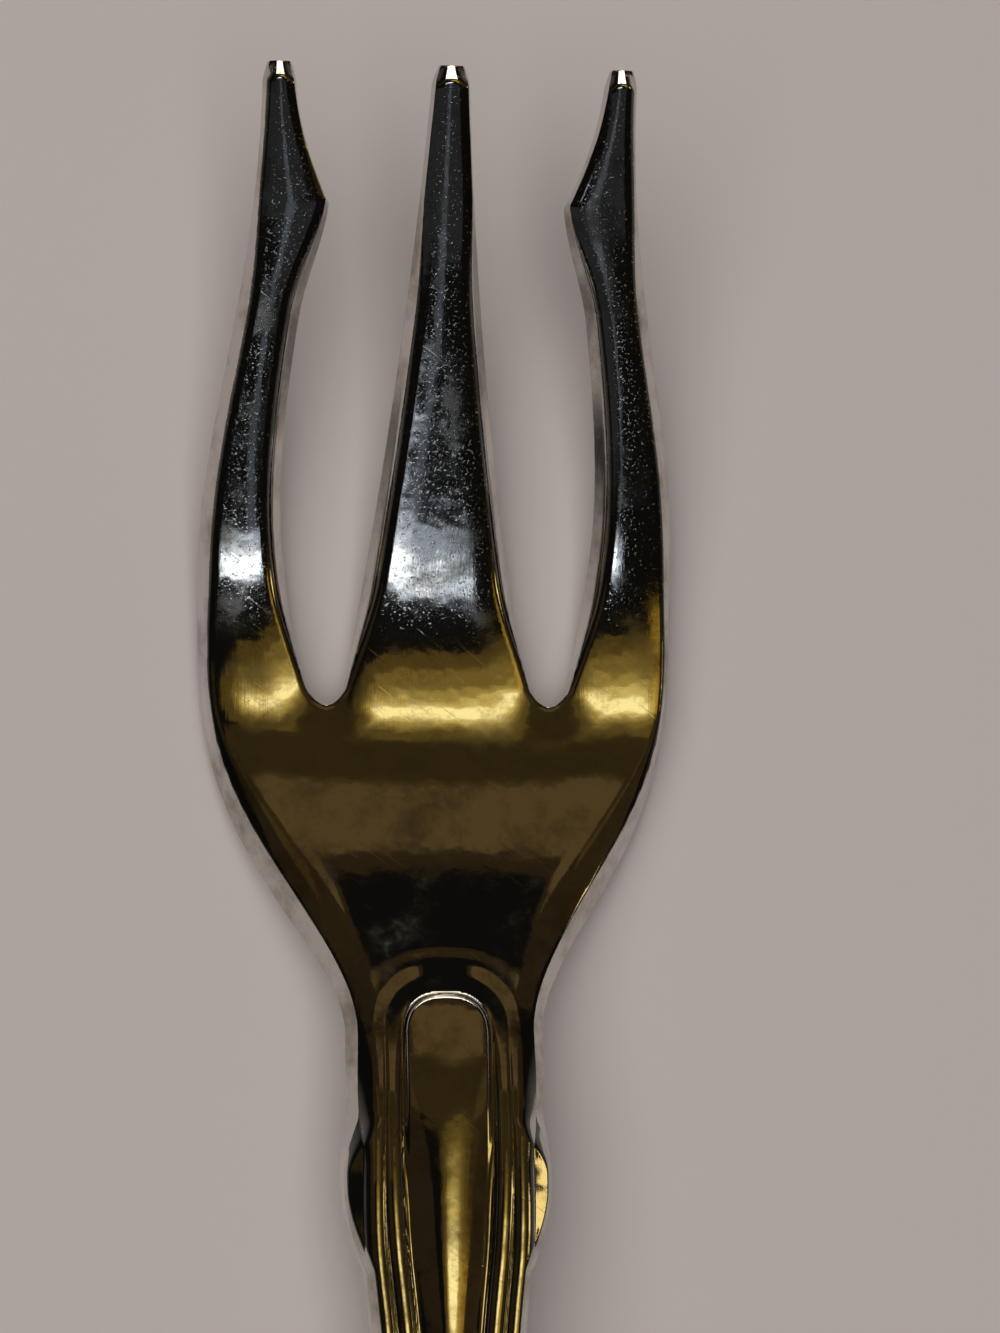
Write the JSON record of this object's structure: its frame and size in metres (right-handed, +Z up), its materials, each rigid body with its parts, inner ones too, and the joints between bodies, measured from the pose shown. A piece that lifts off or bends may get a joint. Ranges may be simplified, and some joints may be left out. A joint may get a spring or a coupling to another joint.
{
  "type": "cocktail fork",
  "caption": "Slim table fork for seafood or fruit, with barbed outer tines, a narrow neck and a ribbed, thread-edged handle that lies flat at its end.",
  "frame": {"origin": "on the table, under the middle of the fork's bounding box", "axes": "+Y along the fork towards the tine tips, +X to the right when the fork is seen from above with its tips away, +Z up from the table"},
  "size_m": [0.0186, 0.15, 0.008],
  "materials": {
    "steel": "mirror polish with fine wear scratches"
  },
  "bodies": {
    "root": {"left_tine": "steel", "centre_tine": "steel", "right_tine": "steel", "root": "steel", "neck": "steel", "handle_stem": "steel", "handle_end": "steel"}
  },
  "joints": []
}
